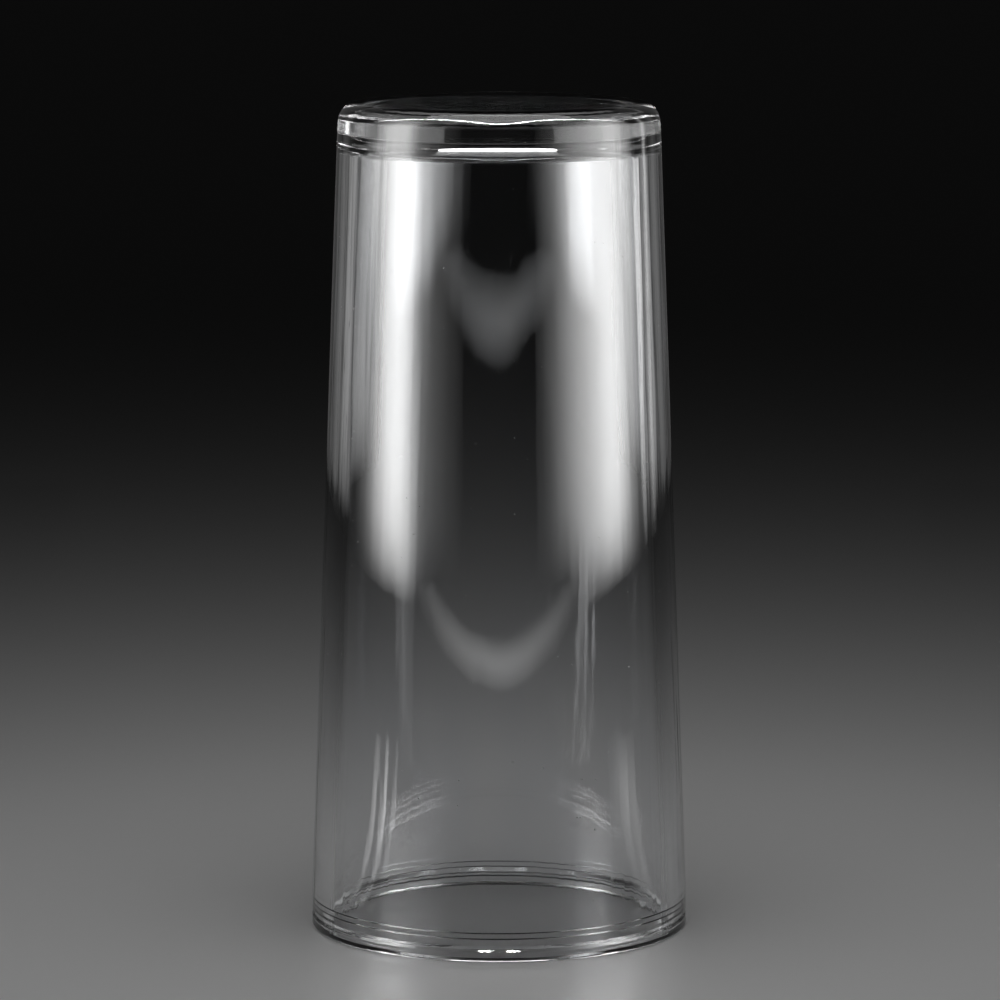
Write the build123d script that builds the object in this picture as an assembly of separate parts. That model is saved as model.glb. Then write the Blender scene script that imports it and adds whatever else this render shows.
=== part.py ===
from build123d import *
import os

# One clear moulded tumbler, standing mouth down.
# Units are millimetres and +Z is up. The origin is the centre of the mouth, on the plane that
# the rim rests on, so the mouth is at Z = 0 and the closed end is at the top.
# The cup is one piece: a half section in the XZ plane, turned once about Z.

# Overall size
HEIGHT = 150.0
MOUTH_RADIUS = 34.2

# Outer wall: a rounded bead at the mouth, a fine groove over it, a nearly upright band, then one
# straight draft
BEAD_TOP = 1.9
BEAD_TOP_FILLET = 0.25
GROOVE_Z = 2.3
GROOVE_DEPTH = 0.3
GROOVE_FILLET = 0.1
LIP_TOP = 3.0
LIP_INSET = 0.03
BAND_TOP = 8.0
BAND_TOP_RADIUS = 34.12
OUTER_EDGE_FILLET = 0.5

# Parting line between the two halves of the mould, just under the closed end
PARTING_Z = 145.5
PARTING_RADIUS = 29.06
PARTING_STEP = 0.1

# Closed end: rounded heel, flat foot ring and a very shallow dish that blends into it
HEEL_FILLET = 3.5
FOOT_RING_WIDTH = 2.3
RECESS_DEPTH = 0.25
RECESS_DRAFT = 4.0
RECESS_FILLET = 30.0

# Cavity: a flat ceiling, a rounded corner and a wall that thins very little towards the mouth
CEILING_Z = 144.2
CEILING_RADIUS = 25.14
CEILING_FILLET = 3.9

# Inner lip: steps that widen towards the mouth, each (top height, bottom height, wider by)
CAVITY_MOUTH_RADIUS = 30.35
INNER_STEPS = [(4.85, 4.65, 0.15), (3.85, 3.65, 0.15), (2.1, 1.7, 0.38)]
INNER_EDGE_CHAMFER = 0.42


def outer_radius_above_parting(z):
    """Outer radius on the base half of the mould, which keeps the draft of the wall below."""
    draft = (BAND_TOP_RADIUS - PARTING_RADIUS) / (PARTING_Z - BAND_TOP)
    return PARTING_RADIUS - PARTING_STEP - draft * (z - PARTING_Z)


def outside_of_section():
    """Corners from the rim out, up the wall, over the heel and in to the axis.

    Each corner is a radius, a height and the radius that it is rounded with.
    """
    heel_corner = outer_radius_above_parting(HEIGHT)
    foot_inner = heel_corner - HEEL_FILLET - FOOT_RING_WIDTH
    recess_z = HEIGHT - RECESS_DEPTH
    return [
        (MOUTH_RADIUS, 0.0, OUTER_EDGE_FILLET),
        (MOUTH_RADIUS, BEAD_TOP, BEAD_TOP_FILLET),
        (MOUTH_RADIUS - GROOVE_DEPTH, GROOVE_Z, GROOVE_FILLET),
        (MOUTH_RADIUS - LIP_INSET, LIP_TOP, 0.0),
        (BAND_TOP_RADIUS, BAND_TOP, 0.0),
        (PARTING_RADIUS, PARTING_Z, 0.0),
        (PARTING_RADIUS - PARTING_STEP, PARTING_Z, 0.0),
        (heel_corner, HEIGHT, HEEL_FILLET),
        (foot_inner, HEIGHT, RECESS_FILLET),
        (foot_inner - RECESS_DRAFT, recess_z, RECESS_FILLET),
        (0.0, recess_z, 0.0),
    ]


def inside_of_section():
    """Corners from the axis out along the ceiling, down the wall and over the inner lip."""
    corners = [
        (0.0, CEILING_Z, 0.0),
        (CEILING_RADIUS, CEILING_Z, CEILING_FILLET),
    ]
    radius = CAVITY_MOUTH_RADIUS
    for top, bottom, widening in INNER_STEPS:
        corners.append((radius, top, 0.0))
        radius += widening
        corners.append((radius, bottom, 0.0))
    corners.append((radius, INNER_EDGE_CHAMFER, 0.0))
    corners.append((radius + INNER_EDGE_CHAMFER, 0.0, 0.0))
    return corners


def half_section():
    """The closed half section, with its corners rounded."""
    corners = outside_of_section() + inside_of_section()
    face = make_face(Polyline(*[Vector(radius, 0.0, z) for radius, z, _ in corners], close=True))
    for radius, z, rounding in corners:
        if rounding > 0.0:
            corner = face.vertices().sort_by_distance(Vector(radius, 0.0, z))[0]
            face = fillet(corner, rounding)
    return face


def make_cup():
    """The cup as one solid of revolution."""
    return revolve(half_section(), Axis.Z)


os.makedirs("parts", exist_ok=True)
export_step(make_cup(), "parts/cup.step")
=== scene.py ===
import math

import bmesh
import bpy
from mathutils import Matrix, Vector


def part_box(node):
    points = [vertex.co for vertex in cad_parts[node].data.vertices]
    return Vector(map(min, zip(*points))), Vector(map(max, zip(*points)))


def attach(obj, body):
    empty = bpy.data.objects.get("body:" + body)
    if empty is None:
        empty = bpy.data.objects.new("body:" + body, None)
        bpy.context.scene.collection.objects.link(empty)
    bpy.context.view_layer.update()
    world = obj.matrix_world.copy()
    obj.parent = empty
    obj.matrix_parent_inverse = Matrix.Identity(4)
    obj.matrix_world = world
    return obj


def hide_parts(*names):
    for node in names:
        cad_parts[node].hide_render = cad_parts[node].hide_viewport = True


# The looks of a clear moulded tumbler that stands mouth down. Everything is in metres, in the
# frame of the CAD model: the origin is the centre of the mouth and +Z runs up to the closed end.

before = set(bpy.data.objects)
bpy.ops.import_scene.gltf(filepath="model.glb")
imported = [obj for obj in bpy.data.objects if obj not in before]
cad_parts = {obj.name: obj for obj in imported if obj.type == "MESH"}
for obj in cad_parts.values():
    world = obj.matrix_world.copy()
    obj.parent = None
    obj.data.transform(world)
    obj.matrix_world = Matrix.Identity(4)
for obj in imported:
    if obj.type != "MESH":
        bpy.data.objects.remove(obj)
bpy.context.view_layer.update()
cup_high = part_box("cup")[1]

MM = 0.001

# The soft panels light only what is in this collection, so they leave the floor plain
lit_by_panels = bpy.data.collections.new("lit_by_panels")

# Fineness of the cup's mesh, and how far from a corner its smooth shading may reach
SEGMENTS = 512
ARC_STEPS = 20
SHARP_ANGLE = math.radians(12)
EDGE_LOOP_GAP = 0.15 * MM

# The section of the cup, as in the CAD model
HEIGHT = cup_high.z
MOUTH_RADIUS = cup_high.x
BEAD_TOP = 1.9 * MM
BEAD_TOP_FILLET = 0.25 * MM
GROOVE_Z = 2.3 * MM
GROOVE_DEPTH = 0.3 * MM
GROOVE_FILLET = 0.1 * MM
LIP_TOP = 3.0 * MM
LIP_INSET = 0.03 * MM
BAND_TOP = 8.0 * MM
BAND_TOP_RADIUS = 34.12 * MM
OUTER_EDGE_FILLET = 0.5 * MM
PARTING_Z = 145.5 * MM
PARTING_RADIUS = 29.06 * MM
PARTING_STEP = 0.1 * MM
HEEL_FILLET = 3.5 * MM
FOOT_RING_WIDTH = 2.3 * MM
RECESS_DEPTH = 0.25 * MM
RECESS_DRAFT = 4.0 * MM
RECESS_FILLET = 30.0 * MM
CEILING_Z = 144.2 * MM
CEILING_RADIUS = 25.14 * MM
CEILING_FILLET = 3.9 * MM
CAVITY_MOUTH_RADIUS = 30.35 * MM
INNER_STEPS = [
    (4.85 * MM, 4.65 * MM, 0.15 * MM),
    (3.85 * MM, 3.65 * MM, 0.15 * MM),
    (2.1 * MM, 1.7 * MM, 0.38 * MM),
]
INNER_EDGE_CHAMFER = 0.42 * MM

# Clear plastic: scales are per metre, depths in metres
FLOW_SCALE = 520.0
FLOW_STRETCH = 0.012
FLOW_DEPTH = 0.00003
RIPPLE_SCALE = 90.0
RIPPLE_DEPTH = 0.00005
HAIRLINE_SCALE = 2400.0
HAIRLINE_DEPTH = 0.000001
HAIRLINE_ROUGHNESS = 0.05
RIM_WEAR_HEIGHT = 3.0 * MM
HEEL_WEAR_HEIGHT = 4.0 * MM
SCUFF_ROUGHNESS = 0.12
DUST_ROUGHNESS = 0.45
SMEAR_ROUGHNESS = (0.012, 0.04)
PLAIN_TINT = (0.985, 0.988, 0.992, 1.0)
COOL_TINT = (0.955, 0.962, 0.975, 1.0)
PLASTIC_IOR = 1.5

# Camera: it stands in front of the cup, on the -Y side, and looks a little down on it
CAMERA_DISTANCE = 0.954
CAMERA_HEIGHT = 0.217
CAMERA_PITCH = math.radians(8.3)
CAMERA_LENS = 191.6
CAMERA_SHIFT = 0.0009

FLOOR_RADIUS = 6.0
FLOOR_SEGMENTS = 96
FLOOR_COLOUR = (0.72, 0.72, 0.72, 1.0)
FLOOR_ROUGHNESS = 0.35

# Side panels. Towards the camera's side their bottom edge lifts, between two azimuths in degrees, to
# leave the low card in view.
PANEL_DISTANCE = 0.6
PANEL_BOTTOM = 0.005
PANEL_FRONT_LIFT = 0.011
PANEL_LIFT_FROM = 60
PANEL_LIFT_TO = 45
PANEL_TOP = 0.7
PANEL_STEPS = 32
# From the bottom edge to the top: (share of the height, level)
PANEL_FADE = [
    (0.0, 0.0), (0.01, 0.3), (0.028, 0.8), (0.055, 0.95),
    (0.11, 1.05), (0.2, 1.1), (0.6, 0.9), (1.0, 0.0),
]
# Round the cup: (azimuth in degrees from the camera's side, level)
LEFT_STOPS = [
    (25, 0.0), (40, 0.05), (52, 0.1), (60, 0.28), (70, 1.4), (80, 0.95), (88, 0.5), (96, 0.17),
    (103, 0.03), (109, 0.006), (127, 0.006), (132, 0.03), (138, 0.03), (143, 0.01), (147, 0.0),
]
RIGHT_STOPS = [
    (25, 0.0), (38, 0.07), (50, 0.3), (66, 0.55), (84, 1.0), (92, 0.6), (99, 0.25), (105, 0.04),
    (110, 0.006), (118, 0.006), (121, 0.32), (124, 0.006), (128, 0.006), (133, 0.03), (138, 0.03),
    (143, 0.01), (147, 0.0),
]
BACK_STOPS = [(108, 0.0), (117, 0.035), (125, 0.045), (155, 0.045), (162, 0.035), (168, 0.0)]
SIDE_STRENGTH = 10.5

# The most light that a stage panel gives: seen straight through the cup, and mirrored in it. Only the
# back panels have a limit when they are mirrored.
SEEN_THROUGH_LIMIT = 0.4
NO_LIMIT = 1000.0
BACK_MIRRORED_LIMIT = 0.1

# Arch over the cup, as the cup's top sees it: (azimuth in degrees from the camera's side, elevation in
# degrees)
ARCH_DISTANCE = 0.62
ARCH_HALF_WIDTH = 0.026
ARCH_PLACES = [(102, 20), (95, 34), (87, 47), (74, 59), (52, 63), (31, 59), (15, 50), (0, 45)]
ARCH_FADE = [(0.0, 0.0), (0.25, 1.0), (0.75, 1.0), (1.0, 0.0)]
ARCH_ENDS = [
    (0.0, 0.0), (0.1, 0.25), (0.22, 0.6), (0.34, 1.0),
    (0.66, 1.0), (0.78, 0.6), (0.9, 0.25), (1.0, 0.0),
]
ARCH_STRENGTH = 85.0

# A dim card that lies on the floor in front of the cup and bends round it. Its two edges are
# (distance, height).
CARD_FADE = [(0.0, 0.0), (0.5, 1.0), (1.0, 0.0)]
CARD_ENDS = [(0.0, 0.0), (0.35, 1.0), (0.65, 1.0), (1.0, 0.0)]
CARD_STEPS = 24
CARD_SPREAD = 55
CARD_FLATNESS = 0.2
LOW_CARD = ((0.47, 0.002), (0.61, 0.002))
LOW_CARD_STRENGTH = 2.2

# Thin strips on the floor that point at the cup: (azimuth, width, strength), angles in degrees
FLOOR_STRIPS = [(-78, 3.6, 9.0), (-70, 3.6, 7.0), (82, 14.0, 3.0)]
FLOOR_STRIP_NEAR = 0.06
FLOOR_STRIP_FAR = 0.3
FLOOR_STRIP_HEIGHT = 0.002

# A lamp over the cup, for the floor, and the faint light all round
FLOOR_LIGHT_PLACE = (0.0, -0.05, 0.4)
FLOOR_LIGHT_SIZE = 0.3
FLOOR_LIGHT_POWER = 0.4
FLOOR_LIGHT_SPREAD = math.radians(140)
WORLD_COLOUR = (0.004, 0.004, 0.004, 1.0)


def outer_radius_above_parting(z):
    draft = (BAND_TOP_RADIUS - PARTING_RADIUS) / (PARTING_Z - BAND_TOP)
    return PARTING_RADIUS - PARTING_STEP - draft * (z - PARTING_Z)


def section_corners():
    """Corners of the closed half section: radius, height and the radius of the rounding."""
    heel_corner = outer_radius_above_parting(HEIGHT)
    foot_inner = heel_corner - HEEL_FILLET - FOOT_RING_WIDTH
    recess_z = HEIGHT - RECESS_DEPTH
    corners = [
        (MOUTH_RADIUS, 0.0, OUTER_EDGE_FILLET),
        (MOUTH_RADIUS, BEAD_TOP, BEAD_TOP_FILLET),
        (MOUTH_RADIUS - GROOVE_DEPTH, GROOVE_Z, GROOVE_FILLET),
        (MOUTH_RADIUS - LIP_INSET, LIP_TOP, 0.0),
        (BAND_TOP_RADIUS, BAND_TOP, 0.0),
        (PARTING_RADIUS, PARTING_Z, 0.0),
        (PARTING_RADIUS - PARTING_STEP, PARTING_Z, 0.0),
        (heel_corner, HEIGHT, HEEL_FILLET),
        (foot_inner, HEIGHT, RECESS_FILLET),
        (foot_inner - RECESS_DRAFT, recess_z, RECESS_FILLET),
        (0.0, recess_z, 0.0),
        (0.0, CEILING_Z, 0.0),
        (CEILING_RADIUS, CEILING_Z, CEILING_FILLET),
    ]
    radius = CAVITY_MOUTH_RADIUS
    for top, bottom, widening in INNER_STEPS:
        corners.append((radius, top, 0.0))
        radius += widening
        corners.append((radius, bottom, 0.0))
    corners.append((radius, INNER_EDGE_CHAMFER, 0.0))
    corners.append((radius + INNER_EDGE_CHAMFER, 0.0, 0.0))
    return corners


def rounded_outline(corners):
    """The outline's points, with an arc in place of each corner that has a rounding."""
    outline = []
    for index, (x, z, rounding) in enumerate(corners):
        if rounding == 0.0:
            outline.append((x, z))
            continue
        before = corners[index - 1]
        after = corners[(index + 1) % len(corners)]
        angle_in = math.atan2(before[1] - z, before[0] - x)
        angle_out = math.atan2(after[1] - z, after[0] - x)
        opening = (angle_out - angle_in + math.pi) % math.tau - math.pi
        reach = rounding / math.sin(abs(opening) / 2)
        middle = angle_in + opening / 2
        centre = (x + reach * math.cos(middle), z + reach * math.sin(middle))
        start = angle_in - math.copysign(math.pi / 2, opening)
        sweep = -math.copysign(math.pi - abs(opening), opening)
        for step in range(ARC_STEPS + 1):
            angle = start + sweep * step / ARC_STEPS
            arc_x = centre[0] + rounding * math.cos(angle)
            arc_z = centre[1] + rounding * math.sin(angle)
            outline.append((arc_x, arc_z))
    return outline


def with_edge_loops(outline):
    """The outline with a point close to both ends of each long side, so that the smooth shading of a
    corner stays at the corner and the side itself reflects as the true cone or plane."""
    looped = []
    for (x, z), (next_x, next_z) in zip(outline, outline[1:] + outline[:1]):
        looped.append((x, z))
        length = math.hypot(next_x - x, next_z - z)
        on_the_axis = x == 0.0 and next_x == 0.0
        if on_the_axis or length < 4 * EDGE_LOOP_GAP:
            continue
        for share in (EDGE_LOOP_GAP / length, 1 - EDGE_LOOP_GAP / length):
            looped.append((x + (next_x - x) * share, z + (next_z - z) * share))
    return looped


def lathe(name, outline):
    """A closed mesh: the outline turned about Z. Points on the axis become one vertex each."""
    mesh_builder = bmesh.new()
    rings = []
    for radius, z in outline:
        if radius == 0.0:
            rings.append([mesh_builder.verts.new((0.0, 0.0, z))] * SEGMENTS)
            continue
        ring = []
        for step in range(SEGMENTS):
            angle = math.tau * step / SEGMENTS
            ring.append(mesh_builder.verts.new((radius * math.cos(angle), radius * math.sin(angle), z)))
        rings.append(ring)
    for ring, next_ring in zip(rings, rings[1:] + rings[:1]):
        if ring[0] is ring[1] and next_ring[0] is next_ring[1]:
            continue
        for step in range(SEGMENTS):
            after = (step + 1) % SEGMENTS
            corners = [ring[step], ring[after], next_ring[after], next_ring[step]]
            mesh_builder.faces.new(dict.fromkeys(corners))
    bmesh.ops.recalc_face_normals(mesh_builder, faces=mesh_builder.faces)
    mesh = bpy.data.meshes.new(name)
    mesh_builder.to_mesh(mesh)
    mesh_builder.free()
    mesh.shade_smooth()
    mesh.set_sharp_from_angle(angle=SHARP_ANGLE)
    piece = bpy.data.objects.new(name, mesh)
    bpy.context.scene.collection.objects.link(piece)
    return piece


def combine(nodes, links, operation, first, second):
    """A math node. The two values are numbers or sockets."""
    node = nodes.new("ShaderNodeMath")
    node.operation = operation
    for socket, value in zip(node.inputs, (first, second)):
        if isinstance(value, float):
            socket.default_value = value
        else:
            links.new(value, socket)
    return node.outputs["Value"]


def noise(nodes, links, place, scale, stretch, detail=3.0):
    """Noise over the cup's own coordinates: its scale per metre, and the share of that along Z."""
    mapping = nodes.new("ShaderNodeMapping")
    mapping.inputs["Scale"].default_value = (scale, scale, scale * stretch)
    links.new(place, mapping.inputs["Vector"])
    texture = nodes.new("ShaderNodeTexNoise")
    texture.inputs["Scale"].default_value = 1.0
    texture.inputs["Detail"].default_value = detail
    links.new(mapping.outputs["Vector"], texture.inputs["Vector"])
    return texture.outputs["Fac"]


def remap(nodes, links, value, low, high, to_low, to_high):
    """The value, moved smoothly from the range low to high into the range to_low to to_high."""
    node = nodes.new("ShaderNodeMapRange")
    node.interpolation_type = "SMOOTHSTEP"
    node.inputs["From Min"].default_value = low
    node.inputs["From Max"].default_value = high
    node.inputs["To Min"].default_value = to_low
    node.inputs["To Max"].default_value = to_high
    links.new(value, node.inputs["Value"])
    return node.outputs["Result"]


def bump(nodes, links, height, depth, normal=None):
    """A bump as deep as depth, on top of the normal of the bump before it."""
    node = nodes.new("ShaderNodeBump")
    node.inputs["Strength"].default_value = 1.0
    node.inputs["Distance"].default_value = depth
    links.new(height, node.inputs["Height"])
    if normal is not None:
        links.new(normal, node.inputs["Normal"])
    return node.outputs["Normal"]


def specks(nodes, links, place, scale, size, share):
    """Small round spots: the share of a grid's cells that holds one, and the spot's size in cells."""
    cells = nodes.new("ShaderNodeTexVoronoi")
    cells.inputs["Scale"].default_value = scale
    links.new(place, cells.inputs["Vector"])
    spot = remap(nodes, links, cells.outputs["Distance"], size * 0.5, size, 1.0, 0.0)
    channels = nodes.new("ShaderNodeSeparateColor")
    links.new(cells.outputs["Color"], channels.inputs["Color"])
    kept = combine(nodes, links, "LESS_THAN", channels.outputs["Red"], share)
    return combine(nodes, links, "MULTIPLY", spot, kept)


def clear_plastic():
    """Polished clear plastic: flow lines along the wall, a faint ripple, scuffed edges and tiny specks."""
    material = bpy.data.materials.new("clear_plastic")
    material.use_nodes = True
    nodes, links = material.node_tree.nodes, material.node_tree.links
    shader = nodes["Principled BSDF"]
    place = nodes.new("ShaderNodeTexCoord").outputs["Object"]
    axes = nodes.new("ShaderNodeSeparateXYZ")
    links.new(place, axes.inputs["Vector"])
    height = axes.outputs["Z"]

    flow = noise(nodes, links, place, FLOW_SCALE, FLOW_STRETCH, 1.5)
    ripple = noise(nodes, links, place, RIPPLE_SCALE, 0.35, 1.0)
    hairlines = noise(nodes, links, place, HAIRLINE_SCALE, 0.03, 2.0)
    hairlines = remap(nodes, links, hairlines, 0.66, 0.72, 0.0, 1.0)
    normal = bump(nodes, links, flow, FLOW_DEPTH)
    normal = bump(nodes, links, ripple, RIPPLE_DEPTH, normal)
    normal = bump(nodes, links, hairlines, HAIRLINE_DEPTH, normal)
    links.new(normal, shader.inputs["Normal"])

    near_rim = remap(nodes, links, height, 0.0, RIM_WEAR_HEIGHT, 1.0, 0.0)
    near_heel = remap(nodes, links, height, HEIGHT - HEEL_WEAR_HEIGHT, HEIGHT, 0.0, 1.0)
    edges = combine(nodes, links, "MAXIMUM", near_rim, near_heel)
    patches = noise(nodes, links, place, 420.0, 1.0)
    patches = remap(nodes, links, patches, 0.5, 0.75, 0.0, 1.0)
    scuffs = combine(nodes, links, "MULTIPLY", edges, patches)
    smears = noise(nodes, links, place, 45.0, 0.5)
    smears = remap(nodes, links, smears, 0.35, 0.75, *SMEAR_ROUGHNESS)
    worn = combine(nodes, links, "MULTIPLY", scuffs, SCUFF_ROUGHNESS)
    hairy = combine(nodes, links, "MULTIPLY", hairlines, HAIRLINE_ROUGHNESS)
    fine = specks(nodes, links, place, 420.0, 0.075, 0.18)
    coarse = specks(nodes, links, place, 110.0, 0.014, 0.35)
    dust = combine(nodes, links, "MAXIMUM", fine, coarse)
    dust = combine(nodes, links, "MULTIPLY", dust, DUST_ROUGHNESS)
    roughness = combine(nodes, links, "ADD", smears, combine(nodes, links, "ADD", worn, hairy))
    roughness = combine(nodes, links, "ADD", roughness, dust)
    links.new(roughness, shader.inputs["Roughness"])

    tint = nodes.new("ShaderNodeMix")
    tint.data_type = "RGBA"
    tint.inputs["A"].default_value = PLAIN_TINT
    tint.inputs["B"].default_value = COOL_TINT
    links.new(remap(nodes, links, ripple, 0.3, 0.7, 0.0, 1.0), tint.inputs["Factor"])
    links.new(tint.outputs["Result"], shader.inputs["Base Color"])
    shader.inputs["IOR"].default_value = PLASTIC_IOR
    shader.inputs["Transmission Weight"].default_value = 1.0
    return material


def make_cup():
    outline = with_edge_loops(rounded_outline(section_corners()))
    cup = lathe("tumbler", outline)
    cup.data.materials.append(clear_plastic())
    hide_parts("cup")
    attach(cup, "root")
    lit_by_panels.objects.link(cup)
    return cup


def make_floor():
    mesh_builder = bmesh.new()
    bmesh.ops.create_circle(mesh_builder, cap_ends=True, segments=FLOOR_SEGMENTS, radius=FLOOR_RADIUS)
    mesh = bpy.data.meshes.new("floor")
    mesh_builder.to_mesh(mesh)
    mesh_builder.free()
    floor = bpy.data.objects.new("floor", mesh)
    bpy.context.scene.collection.objects.link(floor)
    material = bpy.data.materials.new("floor")
    material.use_nodes = True
    shader = material.node_tree.nodes["Principled BSDF"]
    shader.inputs["Base Color"].default_value = FLOOR_COLOUR
    shader.inputs["Roughness"].default_value = FLOOR_ROUGHNESS
    floor.data.materials.append(material)


def glow_material(name, strength, across, along, mirrored_limit=NO_LIMIT):
    """Light that varies smoothly over a stage panel. Across and along are (place, level) stops.

    What is seen straight through the cup has SEEN_THROUGH_LIMIT, what is mirrored in it has
    mirrored_limit, and what has met the floor first gets no light from the panel.
    """
    material = bpy.data.materials.new(name)
    material.use_nodes = True
    nodes, links = material.node_tree.nodes, material.node_tree.links
    nodes.clear()
    place = nodes.new("ShaderNodeUVMap")
    axes = nodes.new("ShaderNodeSeparateXYZ")
    links.new(place.outputs["UV"], axes.inputs["Vector"])
    levels = []
    for axis, stops in (("X", across), ("Y", along)):
        ramp = nodes.new("ShaderNodeValToRGB")
        ramp.color_ramp.interpolation = "B_SPLINE"
        elements = ramp.color_ramp.elements
        while len(elements) < len(stops):
            elements.new(1.0)
        for element, (position, value) in zip(elements, stops):
            element.position = position
            element.color = (value, value, value, 1.0)
        links.new(axes.outputs[axis], ramp.inputs["Fac"])
        levels.append(ramp.outputs["Color"])
    level = combine(nodes, links, "MULTIPLY", levels[0], levels[1])
    level = combine(nodes, links, "MULTIPLY", level, strength)
    path = nodes.new("ShaderNodeLightPath")
    off_the_floor = combine(nodes, links, "LESS_THAN", path.outputs["Diffuse Depth"], 0.5)
    mirrored = combine(nodes, links, "GREATER_THAN", path.outputs["Glossy Depth"], 0.5)
    ceiling = combine(nodes, links, "MULTIPLY", mirrored, mirrored_limit - SEEN_THROUGH_LIMIT)
    ceiling = combine(nodes, links, "ADD", ceiling, SEEN_THROUGH_LIMIT)
    softened = combine(nodes, links, "MINIMUM", level, ceiling)
    shown = combine(nodes, links, "MULTIPLY", softened, off_the_floor)
    glow = nodes.new("ShaderNodeEmission")
    links.new(shown, glow.inputs["Strength"])
    output = nodes.new("ShaderNodeOutputMaterial")
    links.new(glow.outputs["Emission"], output.inputs["Surface"])
    return material


def soft_panel(name, left_edge, right_edge, material):
    """A glowing sheet between two edges, each a list of points. It shows only in and through the cup."""
    steps = len(left_edge) - 1
    mesh = bpy.data.meshes.new(name)
    points = [point for pair in zip(left_edge, right_edge) for point in pair]
    faces = [(2 * step, 2 * step + 1, 2 * step + 3, 2 * step + 2) for step in range(steps)]
    mesh.from_pydata(points, [], faces)
    layer = mesh.uv_layers.new(name="UVMap")
    for loop in mesh.loops:
        row, side = divmod(loop.vertex_index, 2)
        layer.data[loop.index].uv = (row / steps, side)
    panel = bpy.data.objects.new(name, mesh)
    bpy.context.scene.collection.objects.link(panel)
    panel.data.materials.append(material)
    panel.visible_camera = False
    panel.visible_diffuse = False
    panel.visible_shadow = False
    panel.light_linking.receiver_collection = lit_by_panels


def side_panel(name, side, stops, mirrored_limit=NO_LIMIT):
    """A curved panel that stands beside the cup: side is -1 on the left and 1 on the right."""
    first = stops[0][0]
    last = stops[-1][0]
    bottom_edge = []
    top_edge = []
    for step in range(PANEL_STEPS + 1):
        degrees = first + (last - first) * step / PANEL_STEPS
        azimuth = math.radians(degrees)
        x = side * PANEL_DISTANCE * math.sin(azimuth)
        y = -PANEL_DISTANCE * math.cos(azimuth)
        lift = (PANEL_LIFT_FROM - degrees) / (PANEL_LIFT_FROM - PANEL_LIFT_TO)
        bottom_edge.append((x, y, PANEL_BOTTOM + PANEL_FRONT_LIFT * min(max(lift, 0.0), 1.0)))
        top_edge.append((x, y, PANEL_TOP))
    across = [((azimuth - first) / (last - first), level) for azimuth, level in stops]
    material = glow_material(name, SIDE_STRENGTH, across, PANEL_FADE, mirrored_limit)
    soft_panel(name, bottom_edge, top_edge, material)


def arch_panel():
    """A narrow strip over the cup. It puts the thin bright lines on the heel and on the inner corner."""
    other_side = [(-azimuth, elevation) for azimuth, elevation in reversed(ARCH_PLACES[:-1])]
    centre = Vector((0.0, 0.0, HEIGHT))
    points = []
    for azimuth, elevation in ARCH_PLACES + other_side:
        round_the_cup = Matrix.Rotation(math.radians(azimuth), 3, "Z")
        upwards = Matrix.Rotation(math.radians(-elevation), 3, "X")
        points.append(round_the_cup @ upwards @ Vector((0.0, -ARCH_DISTANCE, 0.0)))
    left_edge = []
    right_edge = []
    for index, point in enumerate(points):
        along = points[min(index + 1, len(points) - 1)] - points[max(index - 1, 0)]
        across = point.cross(along).normalized() * ARCH_HALF_WIDTH
        left_edge.append(centre + point - across)
        right_edge.append(centre + point + across)
    material = glow_material("arch", ARCH_STRENGTH, ARCH_ENDS, ARCH_FADE)
    soft_panel("arch", left_edge, right_edge, material)


def bent_card(name, edges, material):
    """A card that bends round the front of the cup. Its edges are two (distance, height) pairs."""
    lines = ([], [])
    for step in range(CARD_STEPS + 1):
        share = 2 * step / CARD_STEPS - 1
        azimuth = math.radians(CARD_SPREAD * share)
        for line, (distance, z) in zip(lines, edges):
            reach = distance + CARD_FLATNESS * share ** 2
            line.append((reach * math.sin(azimuth), -reach * math.cos(azimuth), z))
    soft_panel(name, lines[0], lines[1], material)


def floor_strips():
    """Thin strips that put the upright streaks on the lower part of the cup."""
    for index, (azimuth, width, strength) in enumerate(FLOOR_STRIPS):
        name = "floor_strip_%d" % index
        sides = []
        for angle in (azimuth - width / 2, azimuth + width / 2):
            x = math.sin(math.radians(angle))
            y = -math.cos(math.radians(angle))
            reaches = (FLOOR_STRIP_NEAR, FLOOR_STRIP_FAR)
            sides.append([(x * reach, y * reach, FLOOR_STRIP_HEIGHT) for reach in reaches])
        material = glow_material(name, strength, CARD_FADE, CARD_FADE)
        soft_panel(name, sides[0], sides[1], material)


def make_lights():
    side_panel("left_panel", -1, LEFT_STOPS)
    side_panel("right_panel", 1, RIGHT_STOPS)
    side_panel("left_back_panel", -1, BACK_STOPS, BACK_MIRRORED_LIMIT)
    side_panel("right_back_panel", 1, BACK_STOPS, BACK_MIRRORED_LIMIT)
    arch_panel()
    bent_card("low_card", LOW_CARD, glow_material("low_card", LOW_CARD_STRENGTH, CARD_ENDS, CARD_FADE))
    floor_strips()
    light = bpy.data.lights.new("floor_light", "AREA")
    light.shape = "DISK"
    light.size = FLOOR_LIGHT_SIZE
    light.energy = FLOOR_LIGHT_POWER
    light.spread = FLOOR_LIGHT_SPREAD
    lamp = bpy.data.objects.new("floor_light", light)
    lamp.location = FLOOR_LIGHT_PLACE
    bpy.context.scene.collection.objects.link(lamp)
    world = bpy.data.worlds.new("studio")
    world.use_nodes = True
    world.node_tree.nodes["Background"].inputs["Color"].default_value = WORLD_COLOUR
    bpy.context.scene.world = world


def make_camera():
    camera = bpy.data.objects.new("camera", bpy.data.cameras.new("camera"))
    camera.data.lens = CAMERA_LENS
    camera.data.shift_x = CAMERA_SHIFT
    camera.data.clip_start = 0.01
    camera.location = (0.0, -CAMERA_DISTANCE, CAMERA_HEIGHT)
    camera.rotation_euler = (math.pi / 2 - CAMERA_PITCH, 0.0, 0.0)
    bpy.context.scene.collection.objects.link(camera)
    bpy.context.scene.camera = camera


make_camera()
make_floor()
make_lights()
make_cup()
bpy.context.scene.view_settings.view_transform = "Standard"
